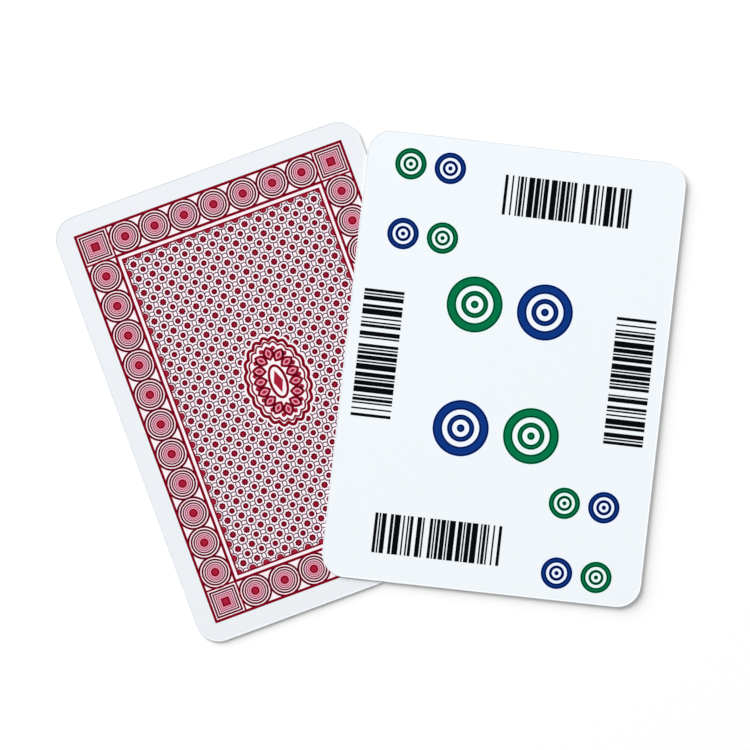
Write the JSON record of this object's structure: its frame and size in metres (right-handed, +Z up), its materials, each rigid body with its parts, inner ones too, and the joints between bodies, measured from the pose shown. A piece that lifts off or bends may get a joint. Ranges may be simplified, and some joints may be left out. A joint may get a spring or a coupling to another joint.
{
  "type": "pair of plastic playing cards",
  "caption": "Laminated plastic playing cards lying fanned: the upper shows a face of ring pips and bar codes and swivels over the lower, which shows a red lattice back.",
  "frame": {"origin": "middle of the pair's box on the table, at the underside of the lower card", "axes": "+Z up out of the table, +X along the fan from the lower card to the upper card, +Y towards the top of the cards"},
  "size_m": [0.1234, 0.1016, 0.0007],
  "materials": {
    "clear_film": "clear smooth overlay film with a soft gloss",
    "face_print": "white plastic sheet printed with green, blue and black ink",
    "back_print": "white plastic sheet printed with a fine red pattern",
    "core": "opaque white plastic core, satin at the cut edge"
  },
  "bodies": {
    "lower_card": {"lower_card_face_film": "clear_film", "lower_card_face_print": "face_print", "lower_card_core": "core", "lower_card_back_print": "back_print", "lower_card_back_film": "clear_film"},
    "upper_card": {"upper_card_back_film": "clear_film", "upper_card_back_print": "back_print", "upper_card_core": "core", "upper_card_face_print": "face_print", "upper_card_face_film": "clear_film"}
  },
  "joints": [
    {"name": "fan_swivel", "type": "hinge", "parent": "lower_card", "child": "upper_card", "pos_m": [0.00889, -0.09247, 0], "axis": [0, 0, 1], "range_deg": [-18, 26.61]}
  ]
}
